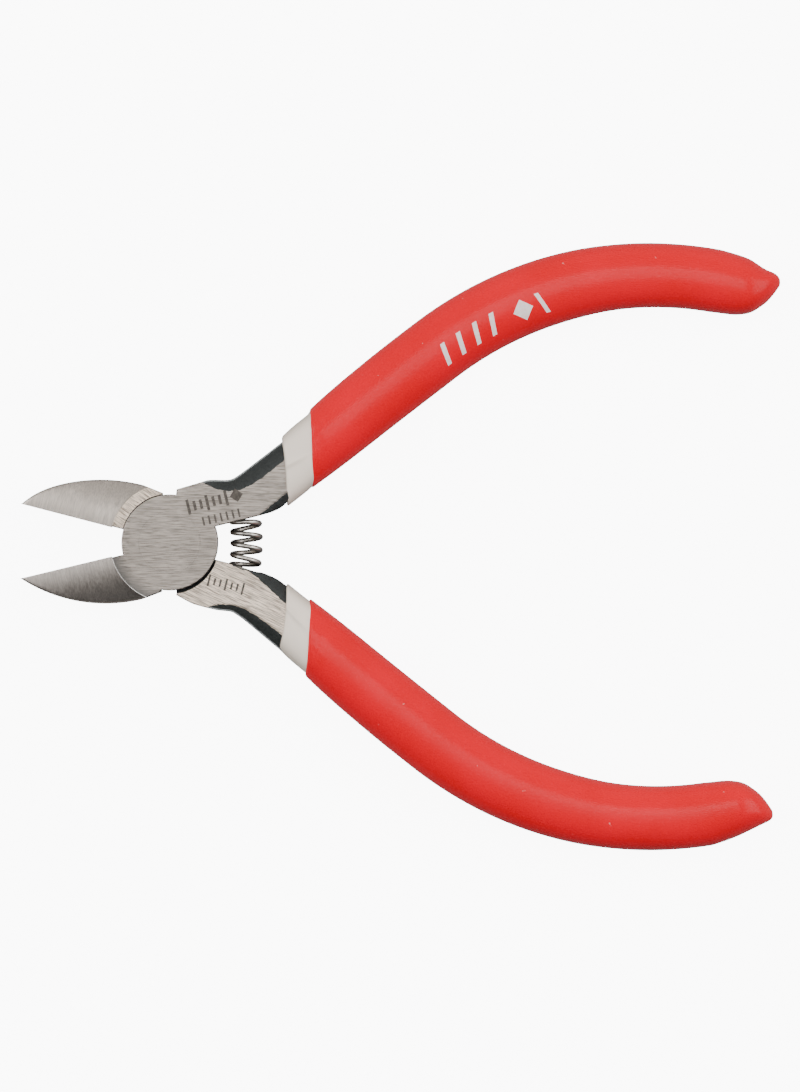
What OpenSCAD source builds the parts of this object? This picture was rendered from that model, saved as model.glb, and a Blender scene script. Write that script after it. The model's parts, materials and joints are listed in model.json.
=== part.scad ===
// Flush cutter: small side cutters with a riveted lap joint, a return spring and dipped grips.
// Origin on the pivot axis in the joint's rear face, jaws towards -X, +Z towards the flush side.
// Both levers come from one blank, drawn closed about the middle of its thickness, with its cutting
// edge along the X axis, its jaw below it and its handle above it. Each is then turned by open_half
// to where the tool rests open.

/* [Stance] */
// Angle that each lever rests open from the closed position, in degrees
open_half = 14; // [6:0.5:15]
// Gap between the two cutting edges when closed
edge_gap = 0.02; // [0.01:0.01:0.1]

/* [Joint] */
// Radius of the lap disc
disc_r = 5.95; // [5.6:0.05:6]
// Thickness of the ground joint
joint_t = 6; // [5.6:0.1:6.4]
// Gap between a lap disc and the jaw that wraps it
jaw_seam = 0.08; // [0.05:0.01:0.2]
// Gap between a lap disc and the neck that wraps it, at its narrow end
neck_seam = 0.2; // [0.1:0.05:0.4]
// How much wider that gap is at the shoulder
neck_seam_shift = 0.25; // [0:0.05:0.3]
// Gap between the two lap faces
lap_gap = 0.03; // [0.02:0.01:0.1]

/* [Rivet] */
// Shank radius
rivet_r = 2.4; // [2:0.1:2.8]
// Radius of the countersunk heads
rivet_head_r = 3.8; // [3.4:0.1:4.2]
// Radial running clearance in the rear lever
rivet_play = 0.03; // [0.01:0.01:0.08]

/* [Jaws] */
// Distance from the pivot to the tips
jaw_len = 18.95; // [17:0.05:21]
// Height of the jaw over its cutting edge
jaw_h = 6.05; // [5.8:0.05:6.4]
// Radius of the jaw's back
jaw_back_r = 19.3; // [18:0.1:24]
// Where the curve of the jaw's back starts
jaw_back_x = 5; // [4:0.1:6]
// Where the jaw's shoulder ends beside the pivot
jaw_shoulder_x = 2.7; // [2:0.1:3.5]
// Radius of the collar between the joint and the jaw
collar_r = 7.35; // [7:0.05:8]
// How far the collar stands back from the cutting line
throat_relief = 0.12; // [0.05:0.01:0.3]
// Half thickness of the jaw beside the collar
jaw_root_z = 2.75; // [2.4:0.05:2.9]
// Half thickness of the jaw at its tip
jaw_tip_z = 0.95; // [0.6:0.05:1.4]
// Radius of the crowned jaw faces
jaw_crown_r = 9; // [8:0.5:14]
// How far the crest of the crown lies from the cutting line
jaw_crest_y = 1; // [0:0.1:2]
// Angle of the cutting bevels, which are on the rear side, in degrees
bevel = 25; // [15:1:30]
// Height of the flat land at the cutting edge
edge_land = 0.25; // [0.15:0.05:0.5]

/* [Levers] */
// Where the shoulder starts beside the pivot
shoulder_x = 2.4; // [2:0.1:3.5]
// Height of the shoulder over the cutting line
shoulder_h = 6.3; // [6:0.05:6.6]
// Height of the neck's inner edge over the cutting line
neck_inner_y = 0.62; // [0.4:0.02:0.9]
// Angle between the straight of the lever and the cutting line, in degrees
lever_angle = 24.3; // [22:0.1:26]
// How far the lever's centreline passes from the pivot
lever_drop = 1.39; // [1.2:0.01:1.6]
// Distance along the lever from the pivot to its bend
bend_start = 40.7; // [36:0.1:44]
// Radius of the bend
bend_r = 44; // [40:0.5:48]
// Angle of the bend, in degrees
bend_angle = 50.9; // [48:0.1:54]
// Radius of the ball that rounds the end of the grip
end_r = 5.5; // [5:0.1:6]

/* [Dipped covers] */
// Width of the outer grip
grip_w = 8.2; // [8:0.1:9]
// Thickness of the outer grip
grip_t = 7.8; // [7.6:0.1:7.9]
// Corner radius of the outer grip
grip_corner = 3; // [2.6:0.1:3.4]
// Wall of the outer dip
grip_wall = 0.45; // [0.35:0.05:0.5]
// Wall of the inner dip
sleeve_wall = 0.5; // [0.35:0.05:0.55]
// Where the inner dip starts, along the cutting line
sleeve_x = 15.4; // [15:0.1:16]
// Where the outer dip starts, along the cutting line
grip_x = 18.9; // [18.5:0.1:20]
// Slant of the two dip lines, in degrees
dip_slant = 8.5; // [0:0.5:12]

/* [Return spring] */
// Distance from the pivot to the coil's axis
spring_x = 9.92; // [9.6:0.02:10.2]
// Wire diameter
wire_d = 0.65; // [0.5:0.05:0.75]
// Outer diameter of the coil
coil_d = 4.1; // [3.6:0.1:4.2]
// Number of turns, with one closed turn at each end
coil_turns = 7.5; // [6:0.5:8]
// Depth of the blind seat in each neck
seat_depth = 2.6; // [2.2:0.1:2.8]
// Radius of the seats
seat_r = 2.2; // [2.15:0.05:2.3]

/* [Hidden] */
$fn = 96;
half_t = joint_t / 2;
reach = 120;
past = 0.1;
sleeve_w = grip_w - 2 * grip_wall;
sleeve_t = grip_t - 2 * grip_wall;
sleeve_corner = grip_corner - grip_wall;
tang_w = sleeve_w - 2 * sleeve_wall;
tang_t = sleeve_t - 2 * sleeve_wall;
tang_corner = sleeve_corner - sleeve_wall;
tang_start = 13;
tang_turn = 2.5;
sleeve_turn = 3.2;
grip_turn = 8;
neck_start = 9;
neck_end = 20;
neck_outer = 2.75;
neck_inner = 3.2;
inner_face = 2.3;
inner_side_z = 1.5;
flank_at = [10.4, 12.6];
flank_top_r = 7.7;
flank_mid_r = 6.3;
flank_mid_z = 0.8;
dip_y = 1.5;
jaw_slope = atan((jaw_root_z - jaw_tip_z) / (jaw_len - collar_r));
coil_r = (coil_d - wire_d) / 2;
seat_gap = 0.35;
coil_straight = neck_inner_y + seat_depth - seat_gap - wire_d / 2;
coil_arc = spring_x * 2 * open_half * PI / 180;
closed_pitch = wire_d + 0.05;
open_pitch = (2 * coil_straight + coil_arc - 2 * closed_pitch) / (coil_turns - 2);
wire_sides = 8;
turn_steps = 20;

// ---------- placing ----------

// Turns a part of the blank from closed to rest, as the front lever's
module front_at_rest() {
    translate([0, 0, half_t]) rotate(open_half) children();
}

// Turns a part of the blank over and to rest, as the rear lever's
module rear_at_rest() {
    translate([0, 0, half_t]) rotate(-open_half) rotate([180, 0, 0]) children();
}

// Puts a part drawn along the X axis on the centreline of the lever
module on_lever() {
    rotate(lever_angle) translate([0, -lever_drop, 0]) children();
}

// Block that fills everything further out than a dip line
module beyond(x) {
    translate([x, dip_y, 0]) rotate(-dip_slant) translate([0, -reach / 2, -reach / 2]) cube(reach);
}

// ---------- jaw ----------

// Jaw from the cutting line to its curved back
module jaw_outline() {
    intersection() {
        translate([-jaw_len, -jaw_h]) square([jaw_len - jaw_shoulder_x, jaw_h - edge_gap / 2]);
        union() {
            translate([-jaw_back_x, jaw_back_r - jaw_h]) circle(r = jaw_back_r);
            translate([-jaw_back_x, -jaw_h]) square([jaw_back_x, jaw_h]);
        }
    }
}

// Leaning cylinder whose top line falls from the collar to the tip
module jaw_crown() {
    translate([-collar_r, -jaw_crest_y, jaw_root_z - jaw_crown_r / cos(jaw_slope)])
        rotate([0, 90 - jaw_slope, 0])
            cylinder(r = jaw_crown_r, h = reach, center = true);
}

// Jaw with crowned faces, and the flat collar beside the joint
module jaw() {
    difference() {
        union() {
            intersection() {
                linear_extrude(joint_t, center = true) jaw_outline();
                jaw_crown();
                mirror([0, 0, 1]) jaw_crown();
            }
            linear_extrude(joint_t, center = true) intersection() {
                jaw_outline();
                circle(r = collar_r);
            }
        }
        translate([-collar_r, -throat_relief, -half_t - past])
            cube([collar_r, jaw_h, joint_t + 2 * past]);
    }
}

// Wedge that bevels the rear of the front jaw back from its cutting edge
module bevel_cut() {
    translate([-collar_r, -edge_gap / 2, jaw_root_z - edge_land])
        rotate([0, -jaw_slope, 0])
            rotate([-bevel, 0, 0])
                translate([-jaw_len, 0, -jaw_len])
                    cube([jaw_len, jaw_len, jaw_len]);
}

// ---------- handle ----------

// Rounded rectangle with exact arcs
module bar_section(w, t, r) {
    square([w - 2 * r, t], center = true);
    square([w, t - 2 * r], center = true);
    for (side = [-1, 1], face = [-1, 1]) translate([side * (w / 2 - r), face * (t / 2 - r)]) circle(r = r);
}

// Bar that follows the lever from the neck and round its bend, turning by more than bend_angle
module bar(w, t, r, more, from = tang_start) {
    turn = bend_angle + more;
    on_lever() {
        translate([from, 0, 0]) rotate([90, 0, 90]) linear_extrude(bend_start - from) bar_section(w, t, r);
        translate([bend_start, -bend_r, 0]) rotate_extrude(angle = turn, start = 90 - turn)
            translate([bend_r, 0]) bar_section(w, t, r);
    }
}

// Everything near the grip's end that lies outside a sphere, to round that end
module end_cut() {
    on_lever() translate([bend_start, -bend_r, 0]) rotate(90 - bend_angle) translate([bend_r, 0, 0])
        difference() {
            translate([-end_r - past, -reach / 2, -end_r]) cube([2 * (end_r + past), reach / 2, 2 * end_r]);
            sphere(r = end_r);
        }
}

// Wedge that slopes the inner side of the neck down from its ground face
module inner_side_cut() {
    run = (neck_inner - inner_face) / 2;
    drop = (half_t - inner_side_z) / 2;
    on_lever() translate([neck_start, 0, 0]) rotate([90, 0, 90]) linear_extrude(neck_end - neck_start)
        polygon([
            [-inner_face + run, half_t + drop],
            [-neck_inner - run, inner_side_z - drop],
            [-neck_inner - run, half_t + drop]
        ]);
}

// Cone that slopes the outer side of the neck down from its ground face
module flank_cut() {
    spread = (flank_top_r - flank_mid_r) / (half_t - flank_mid_z);
    translate([flank_at.x, flank_at.y, flank_mid_z])
        cylinder(r1 = flank_mid_r, r2 = flank_top_r + spread * past, h = half_t - flank_mid_z + past);
}

// Shoulder and neck, up to the inner dip line
module neck() {
    difference() {
        linear_extrude(joint_t, center = true) intersection() {
            union() {
                translate([shoulder_x, 0]) square([spring_x + seat_r - shoulder_x, shoulder_h]);
                on_lever() translate([neck_start, -neck_inner])
                    square([neck_end - neck_start, neck_inner + neck_outer]);
            }
            translate([0, neck_inner_y]) square(reach);
        }
        beyond(sleeve_x);
        for (turn = [0, 1]) mirror([0, 0, turn]) {
            flank_cut();
            inner_side_cut();
        }
    }
}

// ---------- the blank of both levers ----------

// Rivet with a countersunk head at each face, grown by play and standing past each face
module rivet(play, past_face) {
    head = rivet_head_r - rivet_r;
    cylinder(r = rivet_r + play, h = joint_t, center = true);
    for (turn = [0, 180]) rotate([turn, 0, 0]) translate([0, 0, half_t - head])
        cylinder(r1 = rivet_r + play, r2 = rivet_head_r + play + past_face, h = head + past_face);
}

// Room below the lap for the other lever's disc, wider on the neck's side
module lap_recess() {
    depth = half_t + lap_gap / 2 + past;
    translate([0, 0, -half_t - past]) {
        cylinder(r = disc_r + jaw_seam, h = depth);
        intersection() {
            translate([neck_seam_shift * cos(80), neck_seam_shift * sin(80), 0])
                cylinder(r = disc_r + neck_seam, h = depth);
            translate([0, -reach / 2, 0]) cube([reach, reach, depth]);
        }
    }
}

// One lever, closed, with its lap disc on the front. The bevel is cut after it is placed
module blank(play) {
    difference() {
        union() {
            jaw();
            neck();
            intersection() {
                bar(tang_w, tang_t, tang_corner, tang_turn);
                beyond(sleeve_x);
            }
            cylinder(r = disc_r, h = half_t);
        }
        lap_recess();
        rivet(play, past);
        translate([spring_x, neck_inner_y + seat_depth, 0]) rotate([90, 0, 0])
            cylinder(r = seat_r, h = seat_depth + past);
    }
}

module front_half() {
    color("#b4aea7") front_at_rest() difference() {
        blank(0);
        bevel_cut();
    }
}

module rear_half() {
    color("#a9a39c") rear_at_rest() difference() {
        blank(rivet_play);
        mirror([0, 0, 1]) bevel_cut();
    }
}

module pivot_rivet() {
    color("#c2bdb6") translate([0, 0, half_t]) rivet(0, 0);
}

// ---------- dipped covers, alike on both levers ----------

module inner_sleeve() {
    intersection() {
        difference() {
            bar(sleeve_w, sleeve_t, sleeve_corner, sleeve_turn);
            bar(tang_w, tang_t, tang_corner, tang_turn, tang_start - past);
        }
        beyond(sleeve_x);
    }
}

module grip() {
    intersection() {
        difference() {
            bar(grip_w, grip_t, grip_corner, grip_turn);
            bar(sleeve_w, sleeve_t, sleeve_corner, sleeve_turn, tang_start - past);
            end_cut();
        }
        beyond(grip_x);
    }
}

module front_inner_sleeve() {
    color("#e2ddd3") front_at_rest() inner_sleeve();
}

module rear_inner_sleeve() {
    color("#e2ddd3") rear_at_rest() inner_sleeve();
}

module front_grip() {
    color("#e02428") front_at_rest() grip();
}

module rear_grip() {
    color("#e02428") rear_at_rest() grip();
}

// ---------- return spring ----------

// Angle about the pivot of the coil's axis, a distance u along it, clamped between the two seats
function coil_turned(u) = min(max((u - coil_straight) / coil_arc, 0), 1) * 2 * open_half - open_half;

// How far a place on the coil's axis lies inside a seat's straight, negative in the rear seat
function coil_inset(u) = min(u - coil_straight, 0) + max(u - coil_straight - coil_arc, 0);

// Distance along the axis after t turns
function coil_advance(t) = min(t, 1) * closed_pitch + min(max(t - 1, 0), coil_turns - 2) * open_pitch
    + max(t - coil_turns + 1, 0) * closed_pitch;

// Direction from the coil's axis to the wire after t turns
function wire_out(t) = let (a = coil_turned(coil_advance(t)))
    [cos(360 * t) * cos(a), cos(360 * t) * sin(a), sin(360 * t)];

// Centre of the wire after t turns
function wire_at(t) = let (u = coil_advance(t), a = coil_turned(u))
    spring_x * [cos(a), sin(a), 0] + coil_inset(u) * [-sin(a), cos(a), 0] + coil_r * wire_out(t);

// Ring of points round the wire after t turns
function wire_ring(t) = let (
        ahead = wire_at(t + 0.01) - wire_at(t - 0.01),
        out = wire_out(t),
        side = cross(ahead, out) / norm(cross(ahead, out))
    ) [for (k = [0:wire_sides - 1]) let (b = 360 * k / wire_sides)
        wire_at(t) + wire_d / 2 * (cos(b) * out + sin(b) * side)];

module return_spring() {
    rings = floor(coil_turns * turn_steps);
    points = [for (i = [0:rings]) each wire_ring(i / turn_steps)];
    sides = [for (i = [0:rings - 1], k = [0:wire_sides - 1])
        let (a = i * wire_sides, next = (k + 1) % wire_sides)
        each [[a + k, a + next, a + wire_sides + k], [a + next, a + wire_sides + next, a + wire_sides + k]]];
    start = [for (k = [wire_sides - 1:-1:0]) k];
    finish = [for (k = [0:wire_sides - 1]) rings * wire_sides + k];
    color("#8d8f90") translate([0, 0, half_t]) polyhedron(points, concat(sides, [start, finish]));
}

front_half();
rear_half();
pivot_rivet();
return_spring();
front_inner_sleeve();
rear_inner_sleeve();
front_grip();
rear_grip();
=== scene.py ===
"""Looks of a small flush cutter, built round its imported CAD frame.

Each lever is drawn as the CAD draws it: closed, about the pivot at the middle of the joint's
thickness, with its jaw towards -X below its cutting edge and its handle above it. Lengths in the
drawing are millimetres. A lever's drawing is turned to rest and moved to the joint at the end.
The driving dimensions are the CAD's own. The constants in capitals after them shape the looks.
"""
import json
import math

import bmesh
import bpy
import numpy as np
from mathutils import Matrix, Vector, geometry

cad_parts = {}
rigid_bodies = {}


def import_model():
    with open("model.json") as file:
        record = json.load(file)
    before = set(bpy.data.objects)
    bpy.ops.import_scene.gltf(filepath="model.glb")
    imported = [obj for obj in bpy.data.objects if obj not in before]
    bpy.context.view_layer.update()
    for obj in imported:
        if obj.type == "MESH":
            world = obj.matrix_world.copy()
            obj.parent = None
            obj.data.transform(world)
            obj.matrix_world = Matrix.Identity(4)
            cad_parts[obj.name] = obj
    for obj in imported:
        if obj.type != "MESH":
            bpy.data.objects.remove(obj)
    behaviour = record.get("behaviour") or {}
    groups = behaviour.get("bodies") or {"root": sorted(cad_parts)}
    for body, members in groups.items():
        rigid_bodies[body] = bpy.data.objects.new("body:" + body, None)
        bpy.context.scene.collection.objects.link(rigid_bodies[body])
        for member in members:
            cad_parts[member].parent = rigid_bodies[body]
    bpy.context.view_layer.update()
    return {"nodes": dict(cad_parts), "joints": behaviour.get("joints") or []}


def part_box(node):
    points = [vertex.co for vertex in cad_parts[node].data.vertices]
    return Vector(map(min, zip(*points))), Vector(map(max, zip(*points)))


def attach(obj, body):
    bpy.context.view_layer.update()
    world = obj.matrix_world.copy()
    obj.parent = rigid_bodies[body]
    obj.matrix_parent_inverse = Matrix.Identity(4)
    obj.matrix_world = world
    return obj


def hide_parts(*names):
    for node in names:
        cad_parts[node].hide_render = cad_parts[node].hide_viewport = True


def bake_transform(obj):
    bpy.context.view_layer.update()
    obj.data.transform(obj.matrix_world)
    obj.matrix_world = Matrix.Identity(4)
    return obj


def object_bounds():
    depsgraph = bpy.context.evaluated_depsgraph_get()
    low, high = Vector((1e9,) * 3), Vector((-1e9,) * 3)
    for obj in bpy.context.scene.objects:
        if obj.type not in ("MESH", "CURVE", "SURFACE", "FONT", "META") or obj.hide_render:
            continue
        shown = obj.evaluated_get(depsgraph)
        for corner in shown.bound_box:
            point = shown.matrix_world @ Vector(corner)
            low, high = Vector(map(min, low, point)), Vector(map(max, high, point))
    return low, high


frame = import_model()

# ---------- driving dimensions, in millimetres and degrees ----------

MM = 0.001
joint = frame["joints"][0]
open_half = joint["range_deg"][1] / 2
FRONT, REAR = joint["parent"], joint["child"]

joint_low, joint_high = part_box("front_half")
half_t = (joint_high.z - joint_low.z) / 2 / MM
mid_z = (joint_high.z + joint_low.z) / 2 / MM

rivet_low, rivet_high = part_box("pivot_rivet")
rivet_head_r = (rivet_high.x - rivet_low.x) / 2 / MM

grip_low, grip_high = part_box("front_grip")
grip_half_t = (grip_high.z - grip_low.z) / 2 / MM

disc_r = 5.95
recess_r = 6.03
neck_recess_r = 6.15
neck_recess_shift = 0.25
lap_gap = 0.03

jaw_len = 18.95
jaw_h = 6.05
jaw_back_r = 19.3
jaw_back_x = 5.0
collar_r = 7.35
jaw_root_z = 2.75
jaw_tip_z = 0.95
jaw_crown_r = 9.0
jaw_crest_y = 1.0
bevel = 25.0
edge_land = 0.25
edge_gap = 0.02
throat_relief = 0.12
jaw_slope = math.atan((jaw_root_z - jaw_tip_z) / (jaw_len - collar_r))

lever_angle = math.radians(24.3)
lever_drop = 1.39
bend_start = 40.7
bend_r = 44.0

seat_x = 9.92
seat_r = 2.2
seat_depth = 2.6
neck_inner_y = 0.62
wire_d = 0.65
coil_d = 4.1


# ---------- curves and distances ----------

def spline(points, step=0.2):
    """A smooth curve through points, as points about step apart."""
    p = np.array(points, float)
    p = np.vstack([2 * p[0] - p[1], p, 2 * p[-1] - p[-2]])
    out = []
    for i in range(1, len(p) - 2):
        n = max(2, int(np.linalg.norm(p[i + 1] - p[i]) / step))
        t = np.arange(n)[:, None] / n
        a, b, c, d = p[i - 1], p[i], p[i + 1], p[i + 2]
        out.append(0.5 * (2 * b + (c - a) * t + (2 * a - 5 * b + 4 * c - d) * t**2
                          + (3 * b - a - 3 * c + d) * t**3))
    out.append(p[-2:-1])
    return np.vstack(out)


def arc(centre, radius, start, stop, step=0.2):
    """Points of an arc from start to stop, in degrees."""
    n = max(2, int(abs(math.radians(stop - start)) * radius / step))
    a = np.radians(np.linspace(start, stop, n + 1))
    return np.array(centre) + radius * np.stack([np.cos(a), np.sin(a)], 1)


def straight(a, b, step=0.2):
    """Points from a to b."""
    a, b = np.array(a, float), np.array(b, float)
    n = max(1, int(np.linalg.norm(b - a) / step))
    return a + (b - a) * (np.arange(n + 1) / n)[:, None]


def joined(*curves):
    """Curves end to end, with points that fall together merged."""
    p = np.vstack(curves)
    keep = np.linalg.norm(p - np.roll(p, 1, 0), axis=1) > 1e-4
    return p[keep]


def distance_and_side(points, line):
    """Distance of each point to a line of points, and the side of it that the point is on."""
    a, b = line[:-1], line[1:]
    ab = b - a
    best = np.full(len(points), 1e9)
    side = np.ones(len(points))
    for k in range(len(a)):
        ap = points - a[k]
        t = np.clip(ap @ ab[k] / (ab[k] @ ab[k]), 0, 1)
        d = np.linalg.norm(ap - t[:, None] * ab[k], axis=1)
        nearer = d < best
        best[nearer] = d[nearer]
        side[nearer] = np.sign(ab[k][0] * ap[nearer, 1] - ab[k][1] * ap[nearer, 0])
    return best, side


def distance(points, line):
    """Distance of each point to a line of points."""
    return distance_and_side(points, line)[0]


def inside(points, loop):
    """Which points lie inside a closed loop."""
    x, y = points[:, 0], points[:, 1]
    found = np.zeros(len(points), bool)
    j = len(loop) - 1
    for i in range(len(loop)):
        xi, yi = loop[i]
        xj, yj = loop[j]
        if yi != yj:
            crosses = ((yi > y) != (yj > y)) & (x < (xj - xi) * (y - yi) / (yj - yi) + xi)
            found ^= crosses
        j = i
    return found


def turned(points, degrees):
    """Points turned about the pivot."""
    a = math.radians(degrees)
    c, s = math.cos(a), math.sin(a)
    return points @ np.array([[c, s], [-s, c]])


def closed(loop):
    """A loop with its first point again at its end."""
    return np.vstack([loop, loop[:1]])


def loop_edges(loop):
    """The edges round a loop, as pairs of point numbers."""
    return [(i, (i + 1) % len(loop)) for i in range(len(loop))]


def grid_over(loop, step, stagger=0.0):
    """Points of a grid over a loop's box, with every second row moved along by stagger."""
    low, high = loop.min(0), loop.max(0)
    x, y = np.meshgrid(np.arange(low[0], high[0], step), np.arange(low[1], high[1], step))
    x = x + (np.arange(len(x)) % 2)[:, None] * stagger
    return np.stack([x.ravel(), y.ravel()], 1)


def triangulated(points, edges, tolerance):
    """Triangles between points that keep to the edges, and the points that they use."""
    found, _, faces, *_ = geometry.delaunay_2d_cdt([Vector(p) for p in points], edges, [], 0, tolerance)
    return np.array([(v.x, v.y) for v in found]), np.array([f for f in faces if len(f) == 3])


# ---------- meshes ----------

def mesh_of(name, verts, faces):
    """A new mesh of verts and faces."""
    mesh = bpy.data.meshes.new(name)
    mesh.from_pydata(np.asarray(verts, float).tolist(), [], faces)
    return mesh


def outward(name, verts, faces):
    """A new mesh with every face turned outwards, and without verts that no face uses."""
    mesh = mesh_of(name, verts, faces)
    bm = bmesh.new()
    bm.from_mesh(mesh)
    bmesh.ops.delete(bm, geom=[v for v in bm.verts if not v.link_faces], context="VERTS")
    bmesh.ops.recalc_face_normals(bm, faces=bm.faces)
    bm.to_mesh(mesh)
    bm.free()
    return mesh


def object_of(name, data):
    """A new object in the scene for a mesh, a light or a camera."""
    obj = bpy.data.objects.new(name, data)
    bpy.context.scene.collection.objects.link(obj)
    return obj


def ring_faces(rings, sides):
    """Faces with four sides between each ring of points and the next."""
    faces = []
    for first in range(0, (rings - 1) * sides, sides):
        for k in range(sides):
            m = (k + 1) % sides
            faces.append((first + k, first + m, first + sides + m, first + sides + k))
    return faces


def prism(loop, low, high):
    """Closed mesh of a loop of points between two heights."""
    n = len(loop)
    verts = [(x, y, low) for x, y in loop] + [(x, y, high) for x, y in loop]
    caps = [tuple(reversed(range(n))), tuple(range(n, 2 * n))]
    return mesh_of("prism", verts, caps + ring_faces(2, n))


def lathe(profile, sides=192):
    """Closed mesh of a profile of (radius, height) pairs turned round the Z axis."""
    turns = [2 * math.pi * k / sides for k in range(sides)]
    verts = [(r * math.cos(a), r * math.sin(a), z) for r, z in profile for a in turns]
    last = (len(profile) - 1) * sides
    caps = [tuple(reversed(range(sides))), tuple(range(last, last + sides))]
    return mesh_of("lathe", verts, ring_faces(len(profile), sides) + caps)


def tube(name, rings, end):
    """Closed mesh through rings of points, flat at its start and meeting at a point at its end."""
    sides = len(rings[0])
    last = (len(rings) - 1) * sides
    faces = [tuple(reversed(range(sides)))] + ring_faces(len(rings), sides)
    faces += [(last + k, last + (k + 1) % sides, last + sides) for k in range(sides)]
    return outward(name, np.vstack(rings + [np.array([end])]), faces)


# ---------- the steel lever ----------

# Outer edge of each neck, from under the white sleeve back to the shoulder
NECK_OUTER = {
    FRONT: [(16.6, 8.95), (14.4, 7.95), (12.7, 7.2), (11, 6.45), (10.2, 6.12), (9.4, 5.86), (8.6, 5.9),
            (7.2, 6.25), (6.4, 6.4), (5.6, 6.36), (4.6, 6.3), (2.4, 6.2)],
    REAR: [(16.7, 9.55), (15, 8.75), (13, 7.8), (11.3, 7), (10.4, 6.65), (9.6, 6.42), (8.8, 6.5),
           (7.8, 6.64), (6.6, 6.68), (5, 6.66), (4, 6.5), (2.45, 6.1)],
}
# Inner edge of each neck, from the joint to under the white sleeve
NECK_INNER = {
    FRONT: [(9, 0.62), (12.5, 0.67), (13.5, 0.78), (14.3, 0.96), (15.1, 1.36), (15.8, 2.0)],
    REAR: [(9, 0.66), (11.6, 0.74), (12.8, 0.84), (13.7, 1.0), (14.5, 1.24), (15.8, 1.8)],
}
# Where the ground face ends on the outer side of each neck
OUTER_GRIND = {
    FRONT: [(5.2, 6.9), (6.3, 5.75), (7.6, 4.85), (9, 4.4), (10.5, 4.35), (12.8, 5.02), (16, 6.5),
            (17.5, 7.15)],
    REAR: [(5.9, 7.3), (7, 6.3), (8.4, 5.75), (9.7, 5.58), (11.3, 5.72), (13.4, 6.4), (16.1, 7.5),
           (17.5, 8.1)],
}
# Where it ends on the inner side
INNER_GRIND = {
    FRONT: [(10.2, 0.02), (11.9, 0.82), (15.5, 2.55), (17.5, 3.5)],
    REAR: [(7.9, 0.3), (8.4, 0.85), (9.6, 1.0), (11.1, 1.28), (15.6, 3.65), (17.5, 4.75)],
}
# The outer flank lies beyond this place
FLANK_X, FLANK_Y = 4, 3
# How the ground boundaries wander: strength, waves along the line and shift
WOBBLE = 0.035
WANDER = ((1, 4.1, 0), (0.7, 9.7, 1), (0.5, 17.3, 2))
# Slope of the forged flank at the ground face, and how much steeper it grows away from it
FLANK_SLOPE, FLANK_CURVE = 0.42, 0.26
# Width of the rim along the outer edge of each neck, and the share of it that is painted a lighter grey
# as a highlight on the edge
RIM, RIM_HIGHLIGHT_SHARE = 0.25, 0.8
# Where the front lever's collar starts to roll off towards the jaw, and how steeply
ROLL_X = -4.85
ROLL_SLOPE = 0.07
# Radii of the strip between collar and jaw that is painted bright as a highlight on the ridge's edge,
# and the arc that it takes up, in degrees
PAINTED_HIGHLIGHT_RADII = (7.3, 7.4)
JAW_FACE_R = (collar_r + PAINTED_HIGHLIGHT_RADII[1]) / 2
COLLAR_ARC = (176, 250)
# Where the jaw's back meets the disc
SHOULDER_END = (-2.45, -5.72)
# How far the ground points reach past the blank's, and how high the back ends over them
TIP_REACH, TIP_HEIGHT = 0.15, 0.1
# The rear jaw's back is fuller near its tip
REAR_BACK_FULLNESS, REAR_BACK_FADE = 0.41, 2.2
# Radii of the rounded edges
EDGE_ROUND, BACK_ROUND = 0.13, 0.3
# Distances from the outline of the points that shape them, and the least share of its distance at
# which such a point is kept in a corner
EDGE_RINGS = (0.02, 0.05, 0.09, EDGE_ROUND, 0.16, 0.22, BACK_ROUND)
RING_SHARE = 0.93
# Spacing of the points that fill a face, and how far they keep from its edges and creases
FILL, FILL_CLEAR = 0.26, 0.1
# Finishes of a lever, as places in its list of materials
GROUND, JAW, COLLAR, OXIDE, PAINTED_HIGHLIGHT, PAINTED_RIM_HIGHLIGHT = range(6)
# The finish of the side wall below each finish of the face
WALL_FINISH = (GROUND, JAW, COLLAR, OXIDE, COLLAR, OXIDE)


def direction(x, y):
    """The direction of a point, in degrees from X."""
    return math.degrees(math.atan2(y, x))


def wobbly(line):
    """A boundary that a hand has ground, wandering a little from its drawn line."""
    along = np.cumsum(np.linalg.norm(np.diff(line, axis=0, prepend=line[:1]), axis=1))
    wander = sum(strength * np.sin(along * waves + shift) for strength, waves, shift in WANDER)
    ahead = np.gradient(line, axis=0)
    ahead /= np.linalg.norm(ahead, axis=1)[:, None]
    return line + WOBBLE * wander[:, None] * np.stack([-ahead[:, 1], ahead[:, 0]], 1)


def lever_outline(body):
    """The closed outline anticlockwise from the jaw's tip, and its parts that are rounded over."""
    neck_outer, neck_inner = NECK_OUTER[body], NECK_INNER[body]
    back_centre = (-jaw_back_x, jaw_back_r - jaw_h)
    tip_y = -edge_gap / 2 - TIP_HEIGHT
    tip_angle = direction(-jaw_len - back_centre[0], tip_y - back_centre[1])
    back = arc(back_centre, jaw_back_r, tip_angle, -90)
    if body == REAR:
        from_tip = back[:, 0] - back[0, 0]
        back[:, 1] -= REAR_BACK_FULLNESS * from_tip * np.exp(-from_tip / REAR_BACK_FADE)
    back = joined(back, straight(back[-1], SHOULDER_END))
    tip = np.array([[-jaw_len - TIP_REACH, -edge_gap / 2]])
    shoulder = direction(*SHOULDER_END)
    throat = math.degrees(math.asin(throat_relief / disc_r))
    inner_start = math.degrees(math.asin(neck_inner[0][1] / disc_r))
    outer = spline(neck_outer)
    under = arc((0, 0), disc_r, shoulder, inner_start)
    inner = joined(straight(under[-1], neck_inner[0]), spline(neck_inner))
    end = straight(inner[-1], outer[0])
    over = arc((0, 0), disc_r, direction(*neck_outer[-1]), 180 + throat)
    step_in = straight(over[-1], (-collar_r, -throat_relief))
    edge = joined(step_in, straight((-collar_r, -edge_gap / 2), tip[0]))
    loop = joined(tip, back, under, inner, end, outer, over, edge)
    return loop, back, joined(under, inner), joined(outer, over, step_in), outer


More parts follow.
